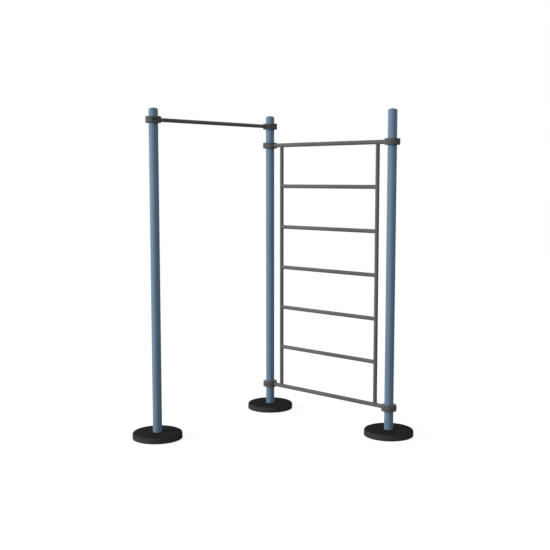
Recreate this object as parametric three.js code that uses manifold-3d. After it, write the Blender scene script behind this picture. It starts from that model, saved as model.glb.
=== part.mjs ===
// Swedish wall bars with a pull-up bar on three posts. Millimetres, +Z up, floor at Z = 0.
// The wall bars run along X between the middle and the right post, the pull-up bar along Y between the
// left and the middle post. The origin is on the floor, midway between the left and the right post.
import * as THREE from 'three';
import { mergeVertices } from 'three/addons/utils/BufferGeometryUtils.js';
import Module from 'manifold-3d';

// Layout, post axis to post axis
const wallBarsSpan = 1350;
const pullUpSpan = 1360;

// Posts
const postDiameter = 76;
const postWall = 3.5;
const postTop = 2666;

// Post caps: a rounded shoulder, then a shallow dome, and a spigot inside the tube
const capShoulderWidth = 4.2;
const capShoulderHeight = 10.4;
const capDomeRise = 9;
const capSkin = 3;
const capSpigotLength = 24;

// Base flanges
const flangeDiameter = 300;
const flangeThickness = 10;
const anchorHoleDiameter = 18;
const anchorHoleCount = 4;
const anchorEdgeDistance = 30;

// Base covers
const coverOverhang = 55;
const coverHeight = 50;
const coverEdgeRadius = 16;
const coverWall = 4;

// Pull-up bar
const barDiameter = 32;
const barWall = 3;
const barBelowPostTop = 76;

// Wall bars
const railDiameter = 36;
const railWall = 3;
const railBelowBar = 170;
const bottomRailHeight = 230;
const uprightDiameter = 34;
const uprightWall = 2.8;
const uprightInset = 144;
const rungDiameter = 34;
const rungWall = 2.8;
const rungCount = 5;

// Clamps
const clampWall = 25.2;
const clampHeight = 52;
const clampEdge = 4.5;
const clampSplit = 2.4;
const railBoltLand = 4.4;
const railBoltSeatLand = 7.7;
const barBoltSeat = 19;

// Clamp bolts, socket head
const boltDiameter = 10;
const railBoltLength = 55;
const barBoltLength = 45;
const boltTipChamfer = 1;
const headDiameter = 16;
const headHeight = 10;
const headChamfer = 1;
const keyWidth = 8;
const keyDepth = 5;

// Clearances
const seatFit = 0.3;
const coverFit = 0.5;
const headFit = 1;
const tubeEndGap = 1;
const boltTipGap = 1.5;
const cutMargin = 5;

// Facets round a full turn
const postFacets = 36;
const coverFacets = 40;
const tubeFacets = 20;
const clampFacets = 32;
const boltFacets = 12;
const arcSteps = 3;
const innerArcSteps = 1;

// Sizes that follow from those above
const postRadius = postDiameter / 2;
const flangeRadius = flangeDiameter / 2;
const coverRadius = flangeRadius + coverOverhang;
const railRadius = railDiameter / 2;
const barHeight = postTop - barBelowPostTop;
const topRailHeight = barHeight - railBelowBar;
const rungPitch = (topRailHeight - bottomRailHeight) / (rungCount + 1);
const uprightSpacing = wallBarsSpan - 2 * uprightInset;
const tubeEndFromPost = postRadius + tubeEndGap;
const clampBore = postRadius + seatFit;
const clampRadius = clampBore + clampWall;
const boltHole = boltDiameter / 2 + seatFit;

// Bolts of the two kinds of clamp: distance from the post's axis, height of the head's seat, length
const railBolts = {
  offset: clampBore + railBoltLand + boltHole,
  seat: railRadius + seatFit + railBoltSeatLand,
  length: railBoltLength,
};
const barBolts = { offset: clampBore + clampWall / 2, seat: barBoltSeat, length: barBoltLength };

const posts = {
  left: new THREE.Vector2(-wallBarsSpan / 2, -pullUpSpan / 2),
  middle: new THREE.Vector2(-wallBarsSpan / 2, pullUpSpan / 2),
  right: new THREE.Vector2(wallBarsSpan / 2, pullUpSpan / 2),
};

const bluePaint = new THREE.MeshStandardMaterial({ color: 0x66839f, roughness: 0.5, metalness: 0.1 });
const greyPaint = new THREE.MeshStandardMaterial({ color: 0x5a5a5c, roughness: 0.5, metalness: 0.1 });
const clampPaint = new THREE.MeshStandardMaterial({ color: 0x505052, roughness: 0.55, metalness: 0.1 });
const blackRubber = new THREE.MeshStandardMaterial({ color: 0x242526, roughness: 0.8, metalness: 0 });
const zincSteel = new THREE.MeshStandardMaterial({ color: 0x9a9da0, roughness: 0.45, metalness: 0.8 });
const boltSteel = new THREE.MeshStandardMaterial({ color: 0x37383a, roughness: 0.4, metalness: 0.8 });

const wasm = await Module();
wasm.setup();

// A closed three.js geometry as a solid that can be cut and joined
function toSolid(geometry) {
  const bare = geometry.clone();
  bare.deleteAttribute('normal');
  bare.deleteAttribute('uv');
  const merged = mergeVertices(bare, 1e-4);
  const mesh = new wasm.Mesh({
    numProp: 3,
    vertProperties: new Float32Array(merged.attributes.position.array),
    triVerts: new Uint32Array(merged.index.array),
  });
  return new wasm.Manifold(mesh);
}

function toGeometry(solid) {
  const { vertProperties, triVerts } = solid.getMesh();
  const geometry = new THREE.BufferGeometry();
  geometry.setAttribute('position', new THREE.BufferAttribute(new Float32Array(vertProperties), 3));
  geometry.setIndex(new THREE.BufferAttribute(new Uint32Array(triVerts), 1));
  geometry.computeVertexNormals();
  return geometry;
}

function cut(geometry, cutters) {
  let solid = toSolid(geometry);
  for (const cutter of cutters) {
    solid = solid.subtract(toSolid(cutter));
  }
  return toGeometry(solid);
}

// An outline of [radius, height] points turned about Z
function turned(outline, facets) {
  const points = outline.map(([radius, height]) => new THREE.Vector2(radius, height));
  return new THREE.LatheGeometry(points, facets).rotateX(Math.PI / 2);
}

// Points of an elliptical quarter from angle `from` to angle `to`, both included
function arc(centreR, centreZ, radiusR, radiusZ, from, to, steps) {
  return Array.from({ length: steps + 1 }, (_, i) => {
    const angle = from + ((to - from) * i) / steps;
    return [centreR + radiusR * Math.cos(angle), centreZ + radiusZ * Math.sin(angle)];
  });
}

// An open tube along Z from `bottom` to `top`
function tube(diameter, wall, bottom, top, facets) {
  const outer = diameter / 2;
  const inner = outer - wall;
  return turned([[inner, bottom], [outer, bottom], [outer, top], [inner, top], [inner, bottom]], facets);
}

// A round cutter from one point to another
function roundCutter(radius, from, to, facets) {
  const along = to.clone().sub(from);
  const turn = new THREE.Quaternion().setFromUnitVectors(
    new THREE.Vector3(0, 1, 0), along.clone().normalize());
  const middle = from.clone().add(to).multiplyScalar(0.5);
  return new THREE.CylinderGeometry(radius, radius, along.length(), facets)
    .applyQuaternion(turn)
    .translate(middle.x, middle.y, middle.z);
}

function named(name, geometry, material) {
  const mesh = new THREE.Mesh(geometry, material);
  mesh.name = name;
  return mesh;
}

function postCapGeometry() {
  const spigotRadius = postRadius - postWall - seatFit;
  const spigotBore = spigotRadius - capSkin;
  const domeRadius = postRadius - capShoulderWidth;
  const sphere = (domeRadius ** 2 + capDomeRise ** 2) / (2 * capDomeRise);
  const sphereHeight = capShoulderHeight + capDomeRise - sphere;
  const rim = Math.acos(domeRadius / sphere);
  const outline = [
    [0, capShoulderHeight + capDomeRise - capSkin],
    [spigotBore, capShoulderHeight - capSkin],
    [spigotBore, -capSpigotLength],
    [spigotRadius, -capSpigotLength],
    [spigotRadius, 0],
    ...arc(domeRadius, 0, capShoulderWidth, capShoulderHeight, 0, Math.PI / 2, arcSteps),
    ...arc(0, sphereHeight, sphere, sphere, rim, Math.PI / 2, arcSteps).slice(1, -1),
    [0, capShoulderHeight + capDomeRise],
  ];
  return turned(outline, postFacets);
}

function baseFlangeGeometry() {
  const plate = new THREE.Shape().absarc(0, 0, flangeRadius, 0, 2 * Math.PI);
  const anchorCircle = flangeRadius - anchorEdgeDistance;
  for (let i = 0; i < anchorHoleCount; i += 1) {
    const angle = ((i + 0.5) / anchorHoleCount) * 2 * Math.PI;
    const hole = new THREE.Path();
    hole.absarc(
      anchorCircle * Math.cos(angle), anchorCircle * Math.sin(angle),
      anchorHoleDiameter / 2, 0, 2 * Math.PI, true);
    plate.holes.push(hole);
  }
  return new THREE.ExtrudeGeometry(plate, {
    depth: flangeThickness, bevelEnabled: false, curveSegments: boltFacets });
}

function baseCoverGeometry() {
  const hole = postRadius + coverFit;
  const edge = coverRadius - coverEdgeRadius;
  const shoulder = coverHeight - coverEdgeRadius;
  const innerEdge = coverEdgeRadius - coverWall;
  return turned([
    [coverRadius, 0],
    ...arc(edge, shoulder, coverEdgeRadius, coverEdgeRadius, 0, Math.PI / 2, arcSteps),
    [hole, coverHeight],
    [hole, coverHeight - coverWall],
    ...arc(edge, shoulder, innerEdge, innerEdge, Math.PI / 2, 0, innerArcSteps),
    [coverRadius - coverWall, 0],
    [coverRadius, 0],
  ], coverFacets);
}

// A clamp lies round the Z axis and is split along X. Its bolts run along Y, with their heads at +Y.
// `side` is +1 for the half that takes the bolt heads and -1 for the half that the bolts screw into.
function clampHalfGeometry(side, cutters) {
  const half = clampHeight / 2;
  const ring = turned([
    [clampBore, -half],
    [clampRadius - clampEdge, -half],
    [clampRadius, clampEdge - half],
    [clampRadius, half - clampEdge],
    [clampRadius - clampEdge, half],
    [clampBore, half],
    [clampBore, -half],
  ], clampFacets);
  const reach = clampRadius + cutMargin;
  const otherHalf = new THREE.BoxGeometry(2 * reach, reach, clampHeight + cutMargin)
    .translate(0, side * (clampSplit / 2 - reach / 2), 0);
  return cut(ring, [otherHalf, ...cutters]);
}

function headHoles({ offset, seat }) {
  return [-offset, offset].flatMap((x) => [
    roundCutter(boltHole, new THREE.Vector3(x, 0, 0), new THREE.Vector3(x, clampRadius, 0), boltFacets),
    roundCutter(
      headDiameter / 2 + headFit,
      new THREE.Vector3(x, seat, 0), new THREE.Vector3(x, clampRadius + cutMargin, 0), boltFacets),
  ]);
}

function tappedHoles({ offset }, depth) {
  return [-offset, offset].map((x) => roundCutter(
    boltHole, new THREE.Vector3(x, 0, 0), new THREE.Vector3(x, -depth, 0), boltFacets));
}

// Half of the round seat that grips a rail's end, on the +X or the -X side of the post
function railSeat(railSide) {
  const end = new THREE.Vector3(railSide * (clampRadius + cutMargin), 0, 0);
  return roundCutter(railRadius + seatFit, new THREE.Vector3(), end, tubeFacets);
}

// Socket for the pull-up bar's end, through the wall of the half that faces the bar
function barSocket() {
  const end = new THREE.Vector3(0, -clampRadius - cutMargin, 0);
  return roundCutter(barDiameter / 2 + seatFit, new THREE.Vector3(), end, tubeFacets);
}

// A socket head bolt along Y with the underside of its head at Y = 0
function boltGeometry({ length }) {
  const shank = boltDiameter / 2;
  const head = headDiameter / 2;
  const outline = [
    [0, -length],
    [shank - boltTipChamfer, -length],
    [shank, boltTipChamfer - length],
    [shank, 0],
    [head, 0],
    [head, headHeight - headChamfer],
    [head - headChamfer, headHeight],
    [0, headHeight],
  ].map(([radius, height]) => new THREE.Vector2(radius, height));
  const socketRadius = keyWidth / 2 / Math.cos(Math.PI / 6);
  const socket = roundCutter(
    socketRadius, new THREE.Vector3(0, headHeight - keyDepth, 0),
    new THREE.Vector3(0, headHeight + cutMargin, 0), 6);
  return cut(new THREE.LatheGeometry(outline, boltFacets), [socket]);
}

function railGeometry() {
  const half = wallBarsSpan / 2;
  const end = half - tubeEndFromPost;
  const rail = tube(railDiameter, railWall, -end, end, tubeFacets).rotateY(Math.PI / 2);
  const holes = [-1, 1].map((side) => {
    const x = side * (half - railBolts.offset);
    return roundCutter(
      boltHole, new THREE.Vector3(x, -railDiameter, 0), new THREE.Vector3(x, railDiameter, 0), boltFacets);
  });
  return cut(rail, holes);
}

// Uprights are coped round the rails at both ends, rungs round the uprights
function uprightGeometry() {
  const half = (topRailHeight - bottomRailHeight) / 2;
  const copes = [-half, half].map((z) => roundCutter(
    railRadius + seatFit, new THREE.Vector3(-uprightDiameter, 0, z),
    new THREE.Vector3(uprightDiameter, 0, z), tubeFacets));
  return cut(tube(uprightDiameter, uprightWall, -half, half, tubeFacets), copes);
}

function rungGeometry() {
  const half = uprightSpacing / 2;
  const copes = [-half, half].map((x) => roundCutter(
    uprightDiameter / 2 + seatFit, new THREE.Vector3(x, 0, -rungDiameter),
    new THREE.Vector3(x, 0, rungDiameter), tubeFacets));
  return cut(tube(rungDiameter, rungWall, -half, half, tubeFacets).rotateY(Math.PI / 2), copes);
}

// One clamp: two halves and two bolts, its own group at its place on a post
function clamp(name, halves, bolts, boltNames, place) {
  const group = new THREE.Group();
  for (const [halfName, geometry] of Object.entries(halves)) {
    group.add(named(`${name}_${halfName}_half`, geometry, clampPaint));
  }
  const boltShape = boltGeometry(bolts);
  boltNames.forEach((boltName, i) => {
    const bolt = named(`${name}_${boltName}_bolt`, boltShape, boltSteel);
    bolt.position.set(i === 0 ? -bolts.offset : bolts.offset, bolts.seat, 0);
    group.add(bolt);
  });
  group.position.copy(place);
  return group;
}

function postSet() {
  const group = new THREE.Group();
  const postGeometry = tube(postDiameter, postWall, flangeThickness, postTop, postFacets);
  const capGeometry = postCapGeometry();
  const flangeGeometry = baseFlangeGeometry();
  const coverGeometry = baseCoverGeometry();
  for (const [side, place] of Object.entries(posts)) {
    const post = new THREE.Group();
    const cap = named(`${side}_post_cap`, capGeometry, bluePaint);
    cap.position.z = postTop;
    post.add(
      named(`${side}_post`, postGeometry, bluePaint), cap,
      named(`${side}_base_flange`, flangeGeometry, zincSteel),
      named(`${side}_base_cover`, coverGeometry, blackRubber));
    post.position.set(place.x, place.y, 0);
    group.add(post);
  }
  return group;
}

function pullUpSet() {
  const group = new THREE.Group();
  const end = pullUpSpan / 2 - tubeEndFromPost;
  const bar = named(
    'pull_up_bar', tube(barDiameter, barWall, -end, end, tubeFacets).rotateX(Math.PI / 2), greyPaint);
  bar.position.set(posts.middle.x, (posts.left.y + posts.middle.y) / 2, barHeight);
  group.add(bar);
  const halves = {
    outer: clampHalfGeometry(1, headHoles(barBolts)),
    inner: clampHalfGeometry(-1, [...tappedHoles(barBolts, clampRadius), barSocket()]),
  };
  for (const side of ['left', 'middle']) {
    const place = new THREE.Vector3(posts[side].x, posts[side].y, barHeight);
    const set = clamp(`pull_up_${side}_clamp`, halves, barBolts, ['first', 'second'], place);
    set.rotation.z = side === 'left' ? Math.PI : 0;
    group.add(set);
  }
  return group;
}

function wallBarsSet() {
  const group = new THREE.Group();
  const y = posts.middle.y;
  const rail = railGeometry();
  const upright = uprightGeometry();
  const rung = rungGeometry();
  const railHeights = { top: topRailHeight, bottom: bottomRailHeight };
  for (const [level, height] of Object.entries(railHeights)) {
    const mesh = named(`${level}_rail`, rail, greyPaint);
    mesh.position.set(0, y, height);
    group.add(mesh);
  }
  for (const [side, sign] of [['left', -1], ['right', 1]]) {
    const mesh = named(`${side}_upright`, upright, greyPaint);
    mesh.position.set((sign * uprightSpacing) / 2, y, (topRailHeight + bottomRailHeight) / 2);
    group.add(mesh);
  }
  for (let i = 1; i <= rungCount; i += 1) {
    const mesh = named(`rung_${i}`, rung, greyPaint);
    mesh.position.set(0, y, bottomRailHeight + i * rungPitch);
    group.add(mesh);
  }
  const blindDepth = railBolts.length - railBolts.seat + boltTipGap;
  for (const [side, railSide] of [['middle', 1], ['right', -1]]) {
    const halves = {
      rear: clampHalfGeometry(1, [...headHoles(railBolts), railSeat(railSide)]),
      front: clampHalfGeometry(-1, [...tappedHoles(railBolts, blindDepth), railSeat(railSide)]),
    };
    const boltNames = side === 'middle' ? ['outer', 'rail'] : ['rail', 'outer'];
    for (const [level, height] of Object.entries(railHeights)) {
      const place = new THREE.Vector3(posts[side].x, posts[side].y, height);
      group.add(clamp(`${level}_rail_${side}_clamp`, halves, railBolts, boltNames, place));
    }
  }
  return group;
}

const wallBars = new THREE.Group();
wallBars.add(postSet(), pullUpSet(), wallBarsSet());

export default wallBars;
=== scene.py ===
# Free-standing wall bars with a pull-up bar: the looks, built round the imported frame
import math

import bmesh
import bpy
import numpy as np
from mathutils import Matrix, Vector


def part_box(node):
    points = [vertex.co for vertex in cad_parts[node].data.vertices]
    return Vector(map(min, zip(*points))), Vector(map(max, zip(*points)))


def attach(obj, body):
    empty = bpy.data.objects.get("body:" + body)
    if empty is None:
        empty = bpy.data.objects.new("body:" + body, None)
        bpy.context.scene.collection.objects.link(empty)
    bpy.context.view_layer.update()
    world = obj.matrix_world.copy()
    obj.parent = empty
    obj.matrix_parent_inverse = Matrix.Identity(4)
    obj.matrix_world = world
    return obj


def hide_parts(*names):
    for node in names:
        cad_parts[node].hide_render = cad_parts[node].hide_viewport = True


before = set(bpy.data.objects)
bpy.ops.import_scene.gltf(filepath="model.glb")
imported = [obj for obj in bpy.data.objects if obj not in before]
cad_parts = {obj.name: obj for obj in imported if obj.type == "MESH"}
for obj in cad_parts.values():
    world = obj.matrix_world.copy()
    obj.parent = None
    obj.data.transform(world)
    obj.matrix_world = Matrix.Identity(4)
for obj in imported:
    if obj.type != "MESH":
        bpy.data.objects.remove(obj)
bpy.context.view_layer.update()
print("frame loaded,", len(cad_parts), "nodes")

mm = 0.001
fullTurn = 2 * math.pi
xAxis, yAxis, zAxis = 0, 1, 2


# Shader graphs

class Wire:  # one socket, with the operators that the paints use
    def __init__(self, graph, socket):
        self.graph = graph
        self.socket = socket

    def maths(self, operation, first, second):
        return self.graph.add("ShaderNodeMath", {"operation": operation}, {0: first, 1: second})

    def __add__(self, other):
        return self.maths("ADD", self, other)

    def __sub__(self, other):
        return self.maths("SUBTRACT", self, other)

    def __rsub__(self, other):
        return self.maths("SUBTRACT", other, self)

    def __mul__(self, other):
        return self.maths("MULTIPLY", self, other)

    __radd__ = __add__
    __rmul__ = __mul__

    def largest(self, other):
        return self.maths("MAXIMUM", self, other)

    def swing(self):  # a value from 0 to 1, moved to lie about zero
        return self - 0.5


class Graph:
    apart = 7.0  # how far a pattern moves from one piece to the next

    def __init__(self, owner):
        owner.use_nodes = True
        self.tree = owner.node_tree
        self.tree.nodes.clear()

    def add(self, kind, settings, sockets, output=0):
        node = self.tree.nodes.new(kind)
        for name, value in settings.items():
            setattr(node, name, value)
        for name, value in sockets.items():
            if isinstance(value, Wire):
                self.tree.links.new(value.socket, node.inputs[name])
            else:
                node.inputs[name].default_value = value
        return Wire(self, node.outputs[output]) if node.outputs else None

    def blend(self, share, first, second):  # 6 and 7 are the Mix node's two colours, 2 is what it gives
        return self.add("ShaderNodeMix", {"data_type": "RGBA"}, {0: share, 6: first, 7: second}, 2)

    def band(self, value, limits):  # 0 below the lower limit, 1 above the upper one, smooth between
        low, high = limits
        return self.add("ShaderNodeMapRange", {"interpolation_type": "SMOOTHSTEP"},
                        {"Value": value, "From Min": low, "From Max": high})

    def own(self):  # the piece's own coordinates
        return self.add("ShaderNodeTexCoord", {}, {}, "Object")

    def place(self, stretch=(1.0, 1.0, 1.0)):  # the same, moved for each piece
        luck = self.add("ShaderNodeObjectInfo", {}, {}, "Random")
        moved = self.add("ShaderNodeVectorMath", {"operation": "ADD"}, {0: self.own(), 1: luck * self.apart})
        return self.add("ShaderNodeVectorMath", {"operation": "MULTIPLY"}, {0: moved, 1: stretch})

    def form(self, what):  # Normal, or Pointiness for how far an edge stands out
        return self.add("ShaderNodeNewGeometry", {}, {}, what)

    def upward(self, vector):  # how far it points or lies up
        return self.add("ShaderNodeSeparateXYZ", {}, {0: vector}, "Z")

    def noise(self, place, scale, detail, rough):
        return self.add("ShaderNodeTexNoise", {},
                        {"Vector": place, "Scale": scale, "Detail": detail, "Roughness": rough})

    def cells(self, place, scale, output):
        return self.add("ShaderNodeTexVoronoi", {}, {"Vector": place, "Scale": scale}, output)

    def bump(self, height, strength, depth):
        return self.add("ShaderNodeBump", {}, {"Height": height, "Strength": strength, "Distance": depth})

    def surface(self, sockets):
        shader = self.add("ShaderNodeBsdfPrincipled", {}, sockets)
        self.add("ShaderNodeOutputMaterial", {}, {"Surface": shader})


def shade(colour, share):
    return tuple(c * share for c in colour) + (1.0,)


def shades(look):  # a shade darker and a shade paler
    return shade(look["colour"], 1.0 - look["tone"]), shade(look["colour"], 1.0 + look["tone"])


def newPaint(name):
    paint = bpy.data.materials.new(name)
    return paint, Graph(paint)


# In the looks, a noise is its scale, detail and roughness, and a band or a patch is the two limits of a mask
dustTone = (0.30, 0.29, 0.27, 1.0)

# Powder coat: orange peel, faint tone changes, thin scuffs along the grain, rubbed edges, dust near the floor
postLook = {"colour": (0.214, 0.327, 0.462), "tone": 0.03, "toneNoise": (2.2, 3.0, 0.55),
            "toneBand": (0.3, 0.7), "cloudNoise": (9.0, 5.0, 0.6),
            "grain": (1.0, 1.0, 0.06), "scuffNoise": (160.0, 2.0, 0.4), "scuffBand": (0.70, 0.76),
            "scuffPatch": (0.45, 0.62), "scuff": 0.35, "scuffTone": 1.9,
            "rubBand": (0.6, 0.68), "rubPatch": (0.35, 0.6), "rub": 0.0, "rubTone": 2.2,
            "dustBand": (0.05, 0.5), "dustPatch": (0.3, 0.75), "dust": 0.03, "dustColour": dustTone,
            "peelNoise": (420.0, 2.0, 0.55), "castNoise": (90.0, 4.0, 0.55), "cast": 0.0,
            "peel": 0.3, "peelDepth": 0.4 * mm,
            "rough": 0.46, "roughCloud": 0.12, "roughScuff": 0.1, "roughDust": 0.15, "gloss": 0.06}
tubeLook = dict(postLook, colour=(0.192, 0.193, 0.196), tone=0.05, grain=(1.0, 1.0, 1.0),
                scuffBand=(0.72, 0.78), scuff=0.25, rough=0.44, gloss=0.01,
                dustBand=(-9.0, -8.0))  # far below every tube, so no dust
clampLook = dict(tubeLook, colour=(0.141, 0.142, 0.144), cast=1.5, castNoise=(130.0, 4.0, 0.55), peel=0.6,
                 rubBand=(0.52, 0.60), rub=0.25, rough=0.52, gloss=0.02)


def powderCoat(name, look):
    paint, graph = newPaint(name)
    place = graph.place()
    tone = graph.band(graph.noise(place, *look["toneNoise"]), look["toneBand"])
    cloud = graph.noise(place, *look["cloudNoise"])
    scratches = graph.noise(graph.place(look["grain"]), *look["scuffNoise"])
    scuff = graph.band(scratches, look["scuffBand"]) * graph.band(cloud, look["scuffPatch"])
    rub = graph.band(graph.form("Pointiness"), look["rubBand"]) * graph.band(cloud, look["rubPatch"])
    low = 1.0 - graph.band(graph.upward(graph.own()), look["dustBand"])
    dust = low * graph.band(cloud, look["dustPatch"])
    colour = graph.blend(tone, *shades(look))
    colour = graph.blend(scuff * look["scuff"], colour, shade(look["colour"], look["scuffTone"]))
    colour = graph.blend(rub * look["rub"], colour, shade(look["colour"], look["rubTone"]))
    colour = graph.blend(dust * look["dust"], colour, look["dustColour"])
    peel = graph.noise(place, *look["peelNoise"]) + look["cast"] * graph.noise(place, *look["castNoise"])
    rough = look["rough"] + look["roughCloud"] * cloud.swing() + look["roughScuff"] * scuff
    graph.surface({
        "Base Color": colour,
        "Roughness": rough + look["roughDust"] * dust,
        "Specular IOR Level": look["gloss"],
        "Normal": graph.bump(peel, look["peel"], look["peelDepth"])})
    return paint


# Moulded plastic: the posts' blue, with a fine spark-eroded grain and dust on the dome
capLook = {"colour": (0.205, 0.315, 0.445), "tone": 0.05, "cloudNoise": (25.0, 4.0, 0.6),
           "grainNoise": (900.0, 2.0, 0.5), "grain": 0.2, "grainDepth": 0.2 * mm,
           "dustBand": (0.55, 0.95), "dustPatch": (0.35, 0.7), "dust": 0.08, "dustColour": dustTone,
           "rough": 0.5, "roughGrain": 0.1, "roughDust": 0.15, "gloss": 0.08}


def mouldedCap(name, look):
    paint, graph = newPaint(name)
    place = graph.place()
    cloud = graph.noise(place, *look["cloudNoise"])
    grain = graph.noise(place, *look["grainNoise"])
    up = graph.upward(graph.form("Normal"))
    dust = graph.band(up, look["dustBand"]) * graph.band(cloud, look["dustPatch"])
    colour = graph.blend(cloud, *shades(look))
    graph.surface({
        "Base Color": graph.blend(dust * look["dust"], colour, look["dustColour"]),
        "Roughness": look["rough"] + look["roughGrain"] * grain.swing() + look["roughDust"] * dust,
        "Specular IOR Level": look["gloss"],
        "Normal": graph.bump(grain, look["grain"], look["grainDepth"])})
    return paint


# Black rubber: crumb grain, a little dust on top, scuffs round the rim, and painted shade: the top is painted
# darker than the paler rim, as if less light fell on it
rubberLook = {"colour": (0.035, 0.036, 0.037), "litRimColour": (0.070, 0.071, 0.072), "paintedShadeBand": (0.3, 0.95),
              "cloudNoise": (12.0, 5.0, 0.65), "fineNoise": (240.0, 3.0, 0.6),
              "mottle": 0.3, "mottleTone": 0.6,
              "scuffBand": (0.6, 0.72), "scuffPatch": (0.48, 0.6), "scuffTop": (0.6, 0.9), "scuff": 0.05,
              "dustBand": (0.5, 1.0), "dustPatch": (0.4, 0.75), "dust": 0.012,
              "dustColour": (0.25, 0.245, 0.235, 1.0),
              "crumbScale": 420.0, "grain": 0.6, "fineGrain": 0.6, "grainDepth": 0.5 * mm,
              "rough": 0.78, "roughFine": 0.12, "roughDust": 0.06, "gloss": 0.0}


def mouldedRubber(name, look):
    paint, graph = newPaint(name)
    place = graph.place()
    cloud = graph.noise(place, *look["cloudNoise"])
    crumb = graph.cells(place, look["crumbScale"], "Distance")
    fine = graph.noise(place, *look["fineNoise"])
    up = graph.upward(graph.form("Normal"))
    dust = graph.band(up, look["dustBand"]) * graph.band(cloud, look["dustPatch"])
    scuff = graph.band(fine, look["scuffBand"]) * graph.band(cloud, look["scuffPatch"])
    scuff = scuff * (1.0 - graph.band(up, look["scuffTop"]))
    # painted shade: faces that turn up are painted darker and the rim paler, standing in for light that falls
    # from the side
    litRim, top = shade(look["litRimColour"], 1.0), shade(look["colour"], 1.0)
    colour = graph.blend(graph.band(up, look["paintedShadeBand"]), litRim, top)
    colour = graph.blend(look["mottle"] * fine, colour, shade(look["colour"], look["mottleTone"]))
    colour = graph.blend(dust * look["dust"] + scuff * look["scuff"], colour, look["dustColour"])
    graph.surface({
        "Base Color": colour,
        "Roughness": look["rough"] + look["roughFine"] * fine.swing() + look["roughDust"] * dust,
        "Specular IOR Level": look["gloss"],
        "Normal": graph.bump(crumb + look["fineGrain"] * fine, look["grain"], look["grainDepth"])})
    return paint


# Blackened steel: dark oxide, rubbed brighter on the edges
boltLook = {"colour": (0.020, 0.020, 0.021), "darkTone": 0.75, "paleTone": 1.3,
            "cloudNoise": (160.0, 5.0, 0.6),
            "rubBand": (0.56, 0.66), "rubPatch": (0.3, 0.6), "rub": 0.5, "rubTone": 5.0,
            "metal": 0.75, "metalRub": 0.2, "rough": 0.45, "roughCloud": 0.2, "roughRub": 0.1,
            "pits": 0.15, "pitDepth": 0.1 * mm}


def blackSteel(name, look):
    paint, graph = newPaint(name)
    cloud = graph.noise(graph.place(), *look["cloudNoise"])
    rub = graph.band(graph.form("Pointiness"), look["rubBand"]) * graph.band(cloud, look["rubPatch"])
    dark, pale = shade(look["colour"], look["darkTone"]), shade(look["colour"], look["paleTone"])
    colour = graph.blend(cloud, dark, pale)
    graph.surface({
        "Base Color": graph.blend(rub * look["rub"], colour, shade(look["colour"], look["rubTone"])),
        "Metallic": look["metal"] + look["metalRub"] * rub,
        "Roughness": look["rough"] + look["roughCloud"] * cloud.swing() - look["roughRub"] * rub,
        "Normal": graph.bump(cloud, look["pits"], look["pitDepth"])})
    return paint


# Hot-dip zinc: spangle and a dull bloom
zincLook = {"colour": (0.48, 0.49, 0.50), "tone": 0.14, "spangleScale": 55.0, "cloudNoise": (14.0, 6.0, 0.65),
            "bloomBand": (0.4, 0.75), "bloom": 0.5, "bloomColour": (0.55, 0.55, 0.54, 1.0),
            "metal": 0.85, "metalBloom": 0.4, "rough": 0.45, "roughCloud": 0.25, "roughSpangle": 0.12,
            "pits": 0.2, "pitDepth": 0.2 * mm}


def zincPlate(name, look):
    paint, graph = newPaint(name)
    place = graph.place()
    flakes = graph.cells(place, look["spangleScale"], "Color")
    spangle = graph.add("ShaderNodeRGBToBW", {}, {"Color": flakes})
    cloud = graph.noise(place, *look["cloudNoise"])
    bloom = graph.band(cloud, look["bloomBand"])
    colour = graph.blend(spangle, *shades(look))
    rough = look["rough"] + look["roughCloud"] * cloud.swing()
    graph.surface({
        "Base Color": graph.blend(bloom * look["bloom"], colour, look["bloomColour"]),
        "Metallic": look["metal"] - look["metalBloom"] * bloom,
        "Roughness": rough + look["roughSpangle"] * spangle.swing(),
        "Normal": graph.bump(cloud, look["pits"], look["pitDepth"])})
    return paint


postPaint = powderCoat("postBlue", postLook)
tubePaint = powderCoat("tubeGrey", tubeLook)
clampPaint = powderCoat("clampGrey", clampLook)
capPlastic = mouldedCap("capBlue", capLook)
coverRubber = mouldedRubber("coverBlack", rubberLook)
boltSteel = blackSteel("boltBlack", boltLook)
flangeZinc = zincPlate("flangeZinc", zincLook)
print("paints made")


# Meshes

meshSet = {"mergeGap": 0.001 * mm, "sharpFrom": 32.0}


def finished(work, name, paint, sharpFrom):  # a mesh from a bmesh, smooth up to an angle in degrees
    bmesh.ops.recalc_face_normals(work, faces=work.faces)
    mesh = bpy.data.meshes.new(name)
    work.to_mesh(mesh)
    work.free()
    mesh.materials.append(paint)
    mesh.shade_smooth()
    mesh.set_sharp_from_angle(angle=math.radians(sharpFrom))
    return mesh


def meshOf(name, points, faces, paint, sharpFrom=meshSet["sharpFrom"]):
    raw = bpy.data.meshes.new(name)
    raw.from_pydata([tuple(p) for p in points], [], faces)
    work = bmesh.new()
    work.from_mesh(raw)
    bpy.data.meshes.remove(raw)
    bmesh.ops.remove_doubles(work, verts=work.verts, dist=meshSet["mergeGap"])
    return finished(work, name, paint, sharpFrom)


def addObject(name, data):
    made = bpy.data.objects.new(name, data)
    bpy.context.scene.collection.objects.link(made)
    return made


def addPiece(name, mesh, body, nodes, place=None):
    piece = addObject(name, mesh)
    if place is not None:
        piece.matrix_world = place
    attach(piece, body)
    if nodes:
        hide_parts(*nodes)


def centreOf(node):
    low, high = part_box(node)
    return (low + high) / 2


def loopFaces(loopCount, steps, closed):  # quads between neighbouring loops
    faces = []
    for i in range(loopCount if closed else loopCount - 1):
        near = i * steps
        far = (i + 1) % loopCount * steps
        for k in range(steps):
            n = (k + 1) % steps
            faces.append((near + k, near + n, far + n, far + k))
    return faces


def turned(outline, steps):  # (radius, height) pairs turned about Z
    points = []
    for radius, height in outline:
        for k in range(steps):
            angle = fullTurn * k / steps
            points.append((radius * math.cos(angle), radius * math.sin(angle), height))
    closed = outline[0][0] > 0 and outline[-1][0] > 0
    return points, loopFaces(len(outline), steps, closed)


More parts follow.
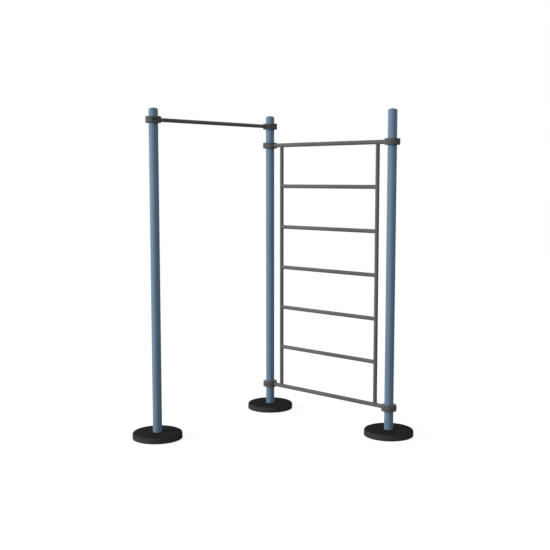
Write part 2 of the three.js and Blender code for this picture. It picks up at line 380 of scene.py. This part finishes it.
def arc(centre, radius, start, end, count):  # points on an arc, angles in degrees
    made = []
    for i in range(count + 1):
        angle = math.radians(start + (end - start) * i / count)
        made.append((centre[0] + radius * math.cos(angle), centre[1] + radius * math.sin(angle)))
    return made


def gather(shapes):  # several shapes in one mesh
    points, faces = [], []
    for shapePoints, shapeFaces, shift in shapes:
        first = len(points)
        points += [Vector(p) + shift for p in shapePoints]
        faces += [tuple(first + i for i in face) for face in shapeFaces]
    return points, faces


def applied(solid):  # the mesh that an object's modifiers leave, instead of the object
    made = bpy.data.meshes.new_from_object(solid.evaluated_get(bpy.context.evaluated_depsgraph_get()))
    bpy.data.objects.remove(solid)
    return made


# Posts: round tubes with their cut edges broken
postSet = {"radius": 38.0 * mm, "wall": 3.5 * mm, "edge": 0.7 * mm, "edgeSteps": 3, "steps": 96}


def postMesh(height):
    outer, edge, edgeSteps = postSet["radius"], postSet["edge"], postSet["edgeSteps"]
    inner = outer - postSet["wall"]
    outline = [(inner, edge), (inner, height)]
    outline += arc((outer - edge, height - edge), edge, 90, 0, edgeSteps)
    outline += arc((outer - edge, edge), edge, 0, -90, edgeSteps)
    return meshOf("postTube", *turned(outline, postSet["steps"]), postPaint)


# Caps: rounded shoulder, a ring line, a shallow dome, and a hollow spigot in the tube
capSet = {"shoulder": 4.2 * mm, "shoulderHeight": 10.4 * mm, "lift": 0.6 * mm, "domeRise": 9.0 * mm,
          "ringDip": 0.4 * mm, "ringWidth": 1.6 * mm, "crownSkin": 5.0 * mm, "skirtSkin": 1.0 * mm,
          "spigot": 24.0 * mm, "spigotRadius": 34.2 * mm, "spigotWall": 3.0 * mm, "bevel": 1.0 * mm,
          "steps": 96, "shoulderSteps": 8, "domeSteps": 10}


def capMesh():
    outer, shoulder, lift = postSet["radius"], capSet["shoulder"], capSet["lift"]
    flat, top, rise = outer - shoulder, capSet["shoulderHeight"], capSet["domeRise"]
    spigot, depth, bevel = capSet["spigotRadius"], capSet["spigot"], capSet["bevel"]
    hollow = spigot - capSet["spigotWall"]
    outline = [(0.0, top + rise - capSet["crownSkin"]), (hollow, capSet["skirtSkin"])]
    outline += [(hollow, -depth), (spigot - bevel, -depth), (spigot, bevel - depth), (spigot, 0.0)]
    outline += [(outer - lift, 0.0), (outer, lift)]
    for i in range(1, capSet["shoulderSteps"] + 1):
        angle = math.radians(90.0 * i / capSet["shoulderSteps"])
        outline.append((flat + shoulder * math.cos(angle), lift + (top - lift) * math.sin(angle)))
    dip, domeRim = capSet["ringDip"], flat - capSet["ringWidth"]
    outline += [(flat - dip, top - dip), (domeRim + dip, top - dip)]
    domeRadius = (domeRim ** 2 + rise ** 2) / (2 * rise)
    for i in range(capSet["domeSteps"] + 1):
        r = domeRim * (1 - i / capSet["domeSteps"])
        outline.append((r, top + rise - domeRadius + math.sqrt(domeRadius ** 2 - r * r)))
    return meshOf("postCap", *turned(outline, capSet["steps"]), capPlastic)


# Flanges: a zinc-coated disc, its rim and its four anchor holes chamfered
flangeSet = {"radius": 150.0 * mm, "thick": 10.0 * mm, "chamfer": 1.2 * mm, "steps": 96,
             "holeRadius": 9.0 * mm, "holeCircle": 120.0 * mm, "holeCount": 4, "holeFlare": 0.6 * mm,
             "holeSteps": 32, "sharpFrom": 30.0}


def flangeMesh():
    thick, circle = flangeSet["thick"], flangeSet["holeCircle"]
    rounds = [(0.0, 0.0, flangeSet["radius"], -flangeSet["chamfer"], flangeSet["steps"])]
    for k in range(flangeSet["holeCount"]):
        angle = fullTurn * (k + 0.5) / flangeSet["holeCount"]  # midway between the axes
        rounds.append((circle * math.cos(angle), circle * math.sin(angle),
                       flangeSet["holeRadius"], flangeSet["holeFlare"], flangeSet["holeSteps"]))
    work = bmesh.new()
    rims = {0.0: [], thick: []}
    for x, y, radius, flare, steps in rounds:
        edge = abs(flare)
        wall = [(radius + flare, 0.0), (radius, edge), (radius, thick - edge), (radius + flare, thick)]
        corners = [work.verts.new((x + p[0], y + p[1], p[2])) for p in turned(wall, steps)[0]]
        for face in loopFaces(len(wall), steps, False):
            work.faces.new([corners[i] for i in face])
        for height, loop in ((0.0, corners[:steps]), (thick, corners[-steps:])):
            rims[height] += [work.edges.get((loop[k], loop[(k + 1) % steps])) for k in range(steps)]
    for edges in rims.values():
        bmesh.ops.triangle_fill(work, edges=edges, use_beauty=True, use_dissolve=False)
    return finished(work, "baseFlange", flangeZinc, flangeSet["sharpFrom"])


# Base covers: a moulded skirt with a rounded top edge and a soft lip round the post
coverSet = {"radius": 205.0 * mm, "height": 50.0 * mm, "edge": 16.0 * mm, "wall": 4.0 * mm,
            "hole": 38.5 * mm, "lip": 1.6 * mm, "foot": 1.0 * mm, "steps": 128,
            "edgeSteps": 10, "lipSteps": 5, "innerSteps": 6}


def coverMesh():
    outer, top, edge, wall = coverSet["radius"], coverSet["height"], coverSet["edge"], coverSet["wall"]
    hole, lip, foot = coverSet["hole"], coverSet["lip"], coverSet["foot"]
    outline = [(outer - wall, 0.0), (outer - foot, 0.0), (outer, foot)]
    outline += arc((outer - edge, top - edge), edge, 0, 90, coverSet["edgeSteps"])
    outline += arc((hole + lip, top - lip), lip, 90, 180, coverSet["lipSteps"])
    outline += [(hole, top - wall)]
    outline += arc((outer - edge, top - edge), edge - wall, 90, 0, coverSet["innerSteps"])
    return meshOf("baseCover", *turned(outline, coverSet["steps"]), coverRubber)


cap, flange, cover = capMesh(), flangeMesh(), coverMesh()
for side in ("left", "middle", "right"):
    low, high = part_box(side + "_post")
    x, y = (low.x + high.x) / 2, (low.y + high.y) / 2
    foot, bottom, top = (Matrix.Translation((x, y, z)) for z in (0.0, low.z, high.z))
    addPiece(side + "PostTube", postMesh(high.z - low.z), "posts", [side + "_post"], bottom)
    addPiece(side + "PostCap", cap, "posts", [side + "_post_cap"], top)
    addPiece(side + "Flange", flange, "posts", [side + "_base_flange"], foot)
    addPiece(side + "Cover", cover, "posts", [side + "_base_cover"], foot)
print("posts made")


# Pull-up bar and ladder panel: straight tubes, coped where they meet another tube, and welded there
barTube = {"radius": 16.0 * mm, "wall": 3.0 * mm}
railTube = {"radius": 18.0 * mm, "wall": 3.0 * mm}
rungTube = {"radius": 17.0 * mm, "wall": 2.8 * mm}  # uprights and rungs
tubeSet = {"rungs": 5, "seatGap": 0.3 * mm, "steps": 64}
beadSet = {"radius": 2.8 * mm, "ripple": 0.05, "ripples": 48, "count": 192, "ring": 10}


def crossAxes(along):  # the two axes across a tube, the one that its copes follow first
    across = yAxis if along != yAxis else xAxis
    return across, xAxis + yAxis + zAxis - along - across


def cope(seat, across):  # how far a round seat cuts in, at a distance from the tube's middle plane
    return math.sqrt(max(seat * seat - across ** 2, 0.0))


# A tube along X, Y or Z. half is half its length, or half the way between the tubes that it is coped to
def tubeMesh(name, tube, along, half, seat=0.0):
    across, rest = crossAxes(along)
    outer, inner, steps = tube["radius"], tube["radius"] - tube["wall"], tubeSet["steps"]
    loops = ((-1, outer), (1, outer), (1, inner), (-1, inner))
    points = []
    for end, radius in loops:
        for k in range(steps):
            angle = fullTurn * k / steps
            point = [0.0, 0.0, 0.0]
            point[across] = radius * math.cos(angle)
            point[rest] = radius * math.sin(angle)
            point[along] = end * (half - cope(seat, point[across]))
            points.append(point)
    return meshOf(name, points, loopFaces(len(loops), steps, True), tubePaint)


# A weld bead round the coped end of such a tube, rippled like laid weld metal
def beadShape(tube, along, end, facing, seat):
    across, rest = crossAxes(along)
    count, ring = beadSet["count"], beadSet["ring"]
    centres, outward = [], []
    for k in range(count):
        angle = fullTurn * k / count
        away = Vector((0.0, 0.0, 0.0))
        away[across] = math.cos(angle)
        away[rest] = math.sin(angle)
        point = tube["radius"] * away
        point[along] = end + facing * cope(seat, point[across])
        away[along] = facing
        centres.append(point)
        outward.append(away.normalized())
    points = []
    for k in range(count):
        tangent = (centres[(k + 1) % count] - centres[k - 1]).normalized()
        side = tangent.cross(outward[k]).normalized()
        out = side.cross(tangent)
        ripple = beadSet["ripple"] * math.cos(beadSet["ripples"] * fullTurn * k / count)
        thick = beadSet["radius"] * (1 + ripple)
        for j in range(ring):
            angle = fullTurn * j / ring
            points.append(centres[k] + thick * (math.cos(angle) * out + math.sin(angle) * side))
    return points, loopFaces(count, ring, True)


# A bolt hole near each end of a rail, through both walls
holeSet = {"radius": 5.3 * mm, "inset": 9.0 * mm, "reach": 30.0 * mm, "steps": 24, "mergeGap": 0.02 * mm}


def drilled(rail, half):
    solid = addObject("drilled", rail)
    radius, reach = holeSet["radius"], holeSet["reach"]
    outline = [(0.0, -reach), (radius, -reach), (radius, reach), (0.0, reach)]
    drills = []
    for facing in (-1, 1):
        points, faces = turned(outline, holeSet["steps"])
        points = [(x + facing * (half - holeSet["inset"]), z, y) for x, y, z in points]
        drills.append(addObject("drill", meshOf("drill", points, faces, tubePaint)))
        hole = solid.modifiers.new("hole", "BOOLEAN")
        hole.operation = "DIFFERENCE"
        hole.solver = "EXACT"
        hole.object = drills[-1]
    work = bmesh.new()
    work.from_mesh(applied(solid))
    for drill in drills:
        bpy.data.objects.remove(drill)
    bmesh.ops.remove_doubles(work, verts=work.verts, dist=holeSet["mergeGap"])
    bmesh.ops.dissolve_degenerate(work, edges=work.edges, dist=holeSet["mergeGap"])
    return finished(work, "drilledRail", tubePaint, meshSet["sharpFrom"])


def addTube(name, mesh, body, node):
    addPiece(name, mesh, body, [node], Matrix.Translation(centreOf(node)))


def halfBetween(first, second, along):
    return (centreOf(second)[along] - centreOf(first)[along]) / 2


def halfLength(node, along):
    low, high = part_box(node)
    return (high - low)[along] / 2


bar = tubeMesh("barMesh", barTube, yAxis, halfLength("pull_up_bar", yAxis))
addTube("pullUpTube", bar, "pull_up", "pull_up_bar")

beads = []
uprightHalf = halfBetween("bottom_rail", "top_rail", zAxis)
upright = tubeMesh("uprightMesh", rungTube, zAxis, uprightHalf, railTube["radius"] + tubeSet["seatGap"])
for side in ("left", "right"):
    node = side + "_upright"
    addTube(side + "UprightTube", upright, "wall_bars", node)
    for facing in (-1, 1):
        shape = beadShape(rungTube, zAxis, facing * uprightHalf, -facing, railTube["radius"])
        beads.append((*shape, centreOf(node)))

rungHalf = halfBetween("left_upright", "right_upright", xAxis)
rung = tubeMesh("rungMesh", rungTube, xAxis, rungHalf, rungTube["radius"] + tubeSet["seatGap"])
for number in range(1, tubeSet["rungs"] + 1):
    node = "rung_" + str(number)
    addTube("rungTube" + str(number), rung, "wall_bars", node)
    for facing in (-1, 1):
        shape = beadShape(rungTube, xAxis, facing * rungHalf, -facing, rungTube["radius"])
        beads.append((*shape, centreOf(node)))
addPiece("panelWelds", meshOf("panelWelds", *gather(beads), tubePaint), "wall_bars", [])

railHalf = halfLength("top_rail", xAxis)
rail = drilled(tubeMesh("railMesh", railTube, xAxis, railHalf), railHalf)
for level in ("top", "bottom"):
    addTube(level + "RailTube", rail, "wall_bars", level + "_rail")
print("tubes and welds made")


# Solids from distances: a field is below zero inside the solid. Reach and margin are counted in cells
carveSet = {"reach": 0.05, "pulls": 5, "flat": 1e-12, "margin": 1.5, "evenings": 2}


def rounded(first, second, radius):  # what both fields hold, with the edge between them rounded
    corner = np.hypot(np.maximum(first + radius, 0), np.maximum(second + radius, 0))
    return np.minimum(np.maximum(first, second), -radius) + corner


def ontoSurface(field, points, cell):  # points drawn onto the surface, along the slope of the field
    reach = cell * carveSet["reach"]
    steps = [reach * unit for unit in np.eye(3)]
    for pull in range(carveSet["pulls"]):
        slope = np.stack([field(points + step) - field(points - step) for step in steps], -1)
        slope /= np.maximum(np.linalg.norm(slope, axis=-1, keepdims=True), carveSet["flat"])
        points = points - np.clip(field(points), -cell, cell)[:, None] * slope
    return points


def evened(quads, points):  # each point moved to the middle of its neighbours
    forward = ((0, 1), (1, 2), (2, 3), (3, 0))
    backward = tuple((b, a) for a, b in forward)
    total, count = np.zeros_like(points), np.zeros((len(points), 1))
    for a, b in forward + backward:
        np.add.at(total, quads[:, a], points[quads[:, b]])
        np.add.at(count, quads[:, a], 1)
    return total / count


# Every cell that the surface crosses gets a point, and every grid edge that it crosses gets a quad
def carved(field, low, high, cell):
    margin = carveSet["margin"]
    axes = [np.arange(a - margin * cell, b + (margin + 1) * cell, cell) for a, b in zip(low, high)]
    grid = np.stack(np.meshgrid(*axes, indexing="ij"), -1)
    inside = field(grid) < 0
    corners = [inside[i:i - 1 or None, j:j - 1 or None, k:k - 1 or None]
               for i in (0, 1) for j in (0, 1) for k in (0, 1)]  # of every cell
    held = sum(c.astype(int) for c in corners)
    crossed = (held > 0) & (held < len(corners))
    number = np.full(crossed.shape, -1)
    number[crossed] = np.arange(crossed.sum())
    quads = []
    for axis in (xAxis, yAxis, zAxis):
        within = np.moveaxis(inside, axis, 0)
        ids = np.moveaxis(number, axis, 0)
        i, j, k = np.nonzero(within[:-1, 1:-1, 1:-1] != within[1:, 1:-1, 1:-1])
        quads.append(np.stack([ids[i, j, k], ids[i, j + 1, k], ids[i, j + 1, k + 1], ids[i, j, k + 1]], -1))
    quads = np.concatenate(quads)
    points = ontoSurface(field, grid[:-1, :-1, :-1][crossed] + cell / 2, cell)
    for evening in range(carveSet["evenings"]):
        points = ontoSurface(field, evened(quads, points), cell)
    return points.tolist(), quads.tolist()


# Clamps: cast half rings, drawn together by two socket head bolts
clampSet = {"bore": 38.3 * mm, "outer": 63.5 * mm, "height": 52.0 * mm, "split": 2.4 * mm,
            "headHole": 9.0 * mm, "boltHole": 5.3 * mm, "tipRoom": 1.5 * mm,
            "railSeat": 18.3 * mm, "barSocket": 16.3 * mm,
            "edge": 4.5 * mm, "boreEdge": 1.0 * mm, "splitEdge": 1.2 * mm, "holeEdge": 0.9 * mm,
            "tapEdge": 0.3 * mm, "cell": 0.95 * mm, "fineCell": 0.85 * mm, "keep": 0.3, "sharpFrom": 80.0}
railBolts = {"away": 48.0 * mm, "seat": 26.0 * mm, "length": 55.0 * mm, "thread": 30.0 * mm}
barBolts = {"away": 50.9 * mm, "seat": 19.0 * mm, "length": 45.0 * mm, "thread": 26.0 * mm}


# half is +1 for the half that takes the bolt heads and -1 for the one that they screw into.
# railFacing is the way along X to the rail, or 0 without one
def clampField(half, bolts, railFacing, socket):
    tall, holeEdge = clampSet["height"] / 2, clampSet["holeEdge"]

    def field(points):
        x, y, z = points[..., 0], points[..., 1] * half, points[..., 2]
        around = np.hypot(x, y)
        solid = rounded(around - clampSet["outer"], np.abs(z) - tall, clampSet["edge"])
        solid = rounded(solid, clampSet["bore"] - around, clampSet["boreEdge"])
        solid = rounded(solid, clampSet["split"] / 2 - y, clampSet["splitEdge"])
        for boltX in (-bolts["away"], bolts["away"]):
            fromBolt = np.hypot(x - boltX, z)
            hole = fromBolt - clampSet["boltHole"]
            if half > 0:
                headHole = np.maximum(fromBolt - clampSet["headHole"], bolts["seat"] - y)
                solid = rounded(solid, -headHole, holeEdge)
            elif railFacing:  # blind
                hole = np.maximum(hole, y - bolts["length"] + bolts["seat"] - clampSet["tipRoom"])
            solid = rounded(solid, -hole, clampSet["tapEdge"])
        if railFacing:
            groove = np.maximum(np.hypot(y, z) - clampSet["railSeat"], -railFacing * x)
            solid = rounded(solid, -groove, holeEdge)
        if socket:
            barHole = np.maximum(np.hypot(x, z) - clampSet["barSocket"], -y)
            solid = rounded(solid, -barHole, holeEdge)
        return solid

    return field


def clampMesh(name, half, bolts, railFacing=0, socket=False, cell=clampSet["cell"]):
    outer, tall = clampSet["outer"], clampSet["height"] / 2
    low = (-outer, 0.0 if half > 0 else -outer, -tall)
    high = (outer, outer if half > 0 else 0.0, tall)
    points, faces = carved(clampField(half, bolts, railFacing, socket), low, high, cell)
    solid = addObject(name, meshOf(name, points, faces, clampPaint, clampSet["sharpFrom"]))
    thin = solid.modifiers.new("thin", "DECIMATE")
    thin.ratio = clampSet["keep"]
    return applied(solid)


# Bolts: knurled socket heads, hexagon key holes, rolled threads. The seat of the head is at Y = 0
boltSet = {"shank": 5.0 * mm, "tip": 1.0 * mm, "fillet": 0.4 * mm, "head": 8.0 * mm, "headHeight": 10.0 * mm,
           "headFoot": 0.5 * mm, "chamfer": 1.0 * mm, "knurl": 0.22 * mm, "knurlStop": 1.4 * mm,
           "knurlFade": 1.1 * mm, "key": 4.0 * mm, "keyDepth": 5.0 * mm, "keyEdge": 0.3 * mm,
           "keyPoint": 1.2 * mm, "keySides": 6, "pitch": 1.5 * mm, "threadDepth": 0.8 * mm,
           "loopsPerTurn": 4, "steps": 48, "sharpFrom": 40.0}


def boltLoops(bolts):  # radius, height and kind of each loop, from the tip to the floor of the key hole
    shank, fillet, head, top = boltSet["shank"], boltSet["fillet"], boltSet["head"], boltSet["headHeight"]
    key, keyEdge, keyFloor = boltSet["key"], boltSet["keyEdge"], top - boltSet["keyDepth"]
    end, threadStart = -bolts["length"], boltSet["tip"] - bolts["length"]
    count = int(bolts["thread"] / boltSet["pitch"] * boltSet["loopsPerTurn"])
    loops = [(0.0, end, "round"), (shank - boltSet["tip"], end, "round")]
    loops += [(shank, threadStart + bolts["thread"] * i / count, "thread") for i in range(count + 1)]
    loops += [(shank, threadStart + bolts["thread"] + boltSet["pitch"], "round"), (shank, -fillet, "round")]
    loops += [(shank + fillet, 0.0, "round"), (head - fillet, 0.0, "round")]
    loops += [(head, boltSet["headFoot"], "knurl"), (head, top - boltSet["knurlStop"], "knurl")]
    loops += [(head - boltSet["knurl"], top - boltSet["knurlFade"], "round")]
    loops += [(head - boltSet["chamfer"], top, "round"), (key + keyEdge, top, "hexagon")]
    loops += [(key, top - keyEdge, "hexagon"), (key, keyFloor, "hexagon")]
    loops += [(0.0, keyFloor - boltSet["keyPoint"], "round")]
    return loops


def boltMesh(name, bolts):
    loops, steps = boltLoops(bolts), boltSet["steps"]
    keySide = fullTurn / boltSet["keySides"]
    points = []
    for radius, height, kind in loops:
        for k in range(steps):
            angle = fullTurn * k / steps
            r = radius
            if kind == "thread":
                phase = (height / boltSet["pitch"] - k / steps) % 1.0
                r = radius - boltSet["threadDepth"] * abs(2 * phase - 1)
            if kind == "knurl":
                r = radius - boltSet["knurl"] * (k % 2)
            if kind == "hexagon":
                r = radius / math.cos((angle + keySide / 2) % keySide - keySide / 2)
            points.append((r * math.cos(angle), height, r * math.sin(angle)))
    return meshOf(name, points, loopFaces(len(loops), steps, False), boltSteel, boltSet["sharpFrom"])


# One clamp at its place on a post. Its halves and bolts are listed by what follows the stem in their nodes
def addClamp(stem, body, place, halves, bolts, bolt, seat):
    for kind, (name, mesh) in halves.items():
        addPiece(name, mesh, body, [stem + kind + "_half"], place)
    for kind, name in bolts.items():
        node = stem + kind + "_bolt"
        spot = place @ Matrix.Translation((0.0, seat, 0.0))
        spot.translation.x = centreOf(node).x
        addPiece(name, bolt, body, [node], spot)


longBolt, shortBolt = boltMesh("railBolt", railBolts), boltMesh("barBolt", barBolts)
barHalves = {"outer": clampMesh("pullUpOuterHalf", 1, barBolts, cell=clampSet["fineCell"]),
             "inner": clampMesh("pullUpInnerHalf", -1, barBolts, socket=True)}
railHalves = {}
for side, railFacing in (("middle", 1), ("right", -1)):
    railHalves[side] = {"rear": clampMesh(side + "RearHalf", 1, railBolts, railFacing),
                        "front": clampMesh(side + "FrontHalf", -1, railBolts, railFacing)}

barHeight = centreOf("pull_up_bar").z
barBeads = []
for side, facing in (("left", 1), ("middle", -1)):  # facing is the way along Y to the bar
    foot = centreOf(side + "_post")
    place = Matrix.Translation((foot.x, foot.y, barHeight))
    if facing > 0:
        place = place @ Matrix.Rotation(math.pi, 4, "Z")
    stem, name = "pull_up_" + side + "_clamp_", side + "PullUp"
    halves = {kind: (name + kind.capitalize() + "Half", mesh) for kind, mesh in barHalves.items()}
    bolts = {kind: name + "Bolt" + kind.capitalize() for kind in ("first", "second")}
    addClamp(stem, "pull_up", place, halves, bolts, shortBolt, barBolts["seat"])
    shape = beadShape(barTube, yAxis, foot.y, facing, clampSet["outer"])
    barBeads.append((*shape, Vector((foot.x, 0.0, barHeight))))
addPiece("pullUpWelds", meshOf("pullUpWelds", *gather(barBeads), tubePaint), "pull_up", [])

for level in ("top", "bottom"):
    for side in ("middle", "right"):
        foot = centreOf(side + "_post")
        place = Matrix.Translation((foot.x, foot.y, centreOf(level + "_rail").z))
        stem, name = level + "_rail_" + side + "_clamp_", level + side.capitalize()
        halves = {kind: (name + kind.capitalize() + "Half", mesh) for kind, mesh in railHalves[side].items()}
        bolts = {kind: name + kind.capitalize() + "Bolt" for kind in ("outer", "rail")}
        addClamp(stem, "wall_bars", place, halves, bolts, longBolt, railBolts["seat"])
print("clamps and bolts made")


# Stage: pale floor, even white surround, a round lamp from the left, a low soft one and a fill from behind
stageSet = {"floor": 40.0, "floorColour": (0.14, 0.14, 0.14, 1.0), "floorSeen": (0.5, 0.5, 0.5, 1.0),
            "floorGlow": (0.77, 0.77, 0.77, 1.0), "noGlow": (0.0, 0.0, 0.0, 1.0), "around": 0.38,
            "surround": (1.0, 1.0, 1.0, 1.0),
            "keyPlace": (-7.25, -10.7, 3.8), "keyAim": (0.0, 0.0, 1.3), "key": 935.0, "keySize": 3.4,
            "softFrom": (0.136, -0.991, 0.12), "soft": 0.38, "softAngle": 12.0,
            "fillFrom": (-0.679, 0.734, 0.2), "fill": 0.95, "fillAngle": 24.0}


def addLight(name, lamp, towards, place=(0.0, 0.0, 0.0)):  # towards points from what is lit to the lamp
    light = addObject(name, lamp)
    light.location = place
    light.rotation_euler = Vector(towards).to_track_quat("Z", "Y").to_euler()


def addSun(name, towards, strength, spread):
    lamp = bpy.data.lights.new(name, "SUN")
    lamp.energy = strength
    lamp.angle = math.radians(spread)
    addLight(name, lamp, towards)


def addLamp(name, place, aim, power, across):
    lamp = bpy.data.lights.new(name, "AREA")
    lamp.shape = "DISK"
    lamp.energy = power
    lamp.size = across
    addLight(name, lamp, Vector(place) - Vector(aim), place)


def seenDirectly(graph):  # rays from the camera, or mirrored or bent on their way
    seen = graph.add("ShaderNodeLightPath", {}, {}, "Is Camera Ray")
    for kind in ("Is Glossy Ray", "Is Transmission Ray"):
        seen = seen.largest(graph.add("ShaderNodeLightPath", {}, {}, kind))
    return seen


def addSurround():
    world = bpy.data.worlds.new("studio")
    bpy.context.scene.world = world
    graph = Graph(world)
    strength = stageSet["around"] + (1.0 - stageSet["around"]) * seenDirectly(graph)
    white = graph.add("ShaderNodeBackground", {}, {"Color": stageSet["surround"], "Strength": strength})
    graph.add("ShaderNodeOutputWorld", {}, {"Surface": white})


def addFloor():
    paint, graph = newPaint("paleFloor")
    seen = seenDirectly(graph)
    graph.surface({
        "Base Color": graph.blend(seen, stageSet["floorColour"], stageSet["floorSeen"]),
        "Roughness": 1.0,
        "Specular IOR Level": 0.0,
        "Emission Color": graph.blend(seen, stageSet["noGlow"], stageSet["floorGlow"]),
        "Emission Strength": 1.0})
    wide = stageSet["floor"]
    corners = [(-wide, -wide, 0.0), (wide, -wide, 0.0), (wide, wide, 0.0), (-wide, wide, 0.0)]
    mesh = bpy.data.meshes.new("floor")
    mesh.from_pydata(corners, [], [(0, 1, 2, 3)])
    mesh.materials.append(paint)
    floor = addObject("floor", mesh)


# Camera: where the picture was taken from, angles in degrees
cameraSet = {"place": (5.0295, -5.4198, 2.1203), "pitch": 6.006, "yaw": 42.777, "lens": 59.77, "sensor": 36.0}


def addCamera():
    lens = bpy.data.cameras.new("photoCamera")
    lens.sensor_width = cameraSet["sensor"]
    lens.lens = cameraSet["lens"]
    camera = addObject("photoCamera", lens)
    camera.location = cameraSet["place"]
    camera.rotation_euler = (math.radians(90.0 - cameraSet["pitch"]), 0.0, math.radians(cameraSet["yaw"]))
    bpy.context.scene.camera = camera


addSurround()
addFloor()
addLamp("keyLamp", stageSet["keyPlace"], stageSet["keyAim"], stageSet["key"], stageSet["keySize"])
addSun("softLamp", stageSet["softFrom"], stageSet["soft"], stageSet["softAngle"])
addSun("backFill", stageSet["fillFrom"], stageSet["fill"], stageSet["fillAngle"])
addCamera()
bpy.context.scene.view_settings.view_transform = "Standard"
print("stage made")
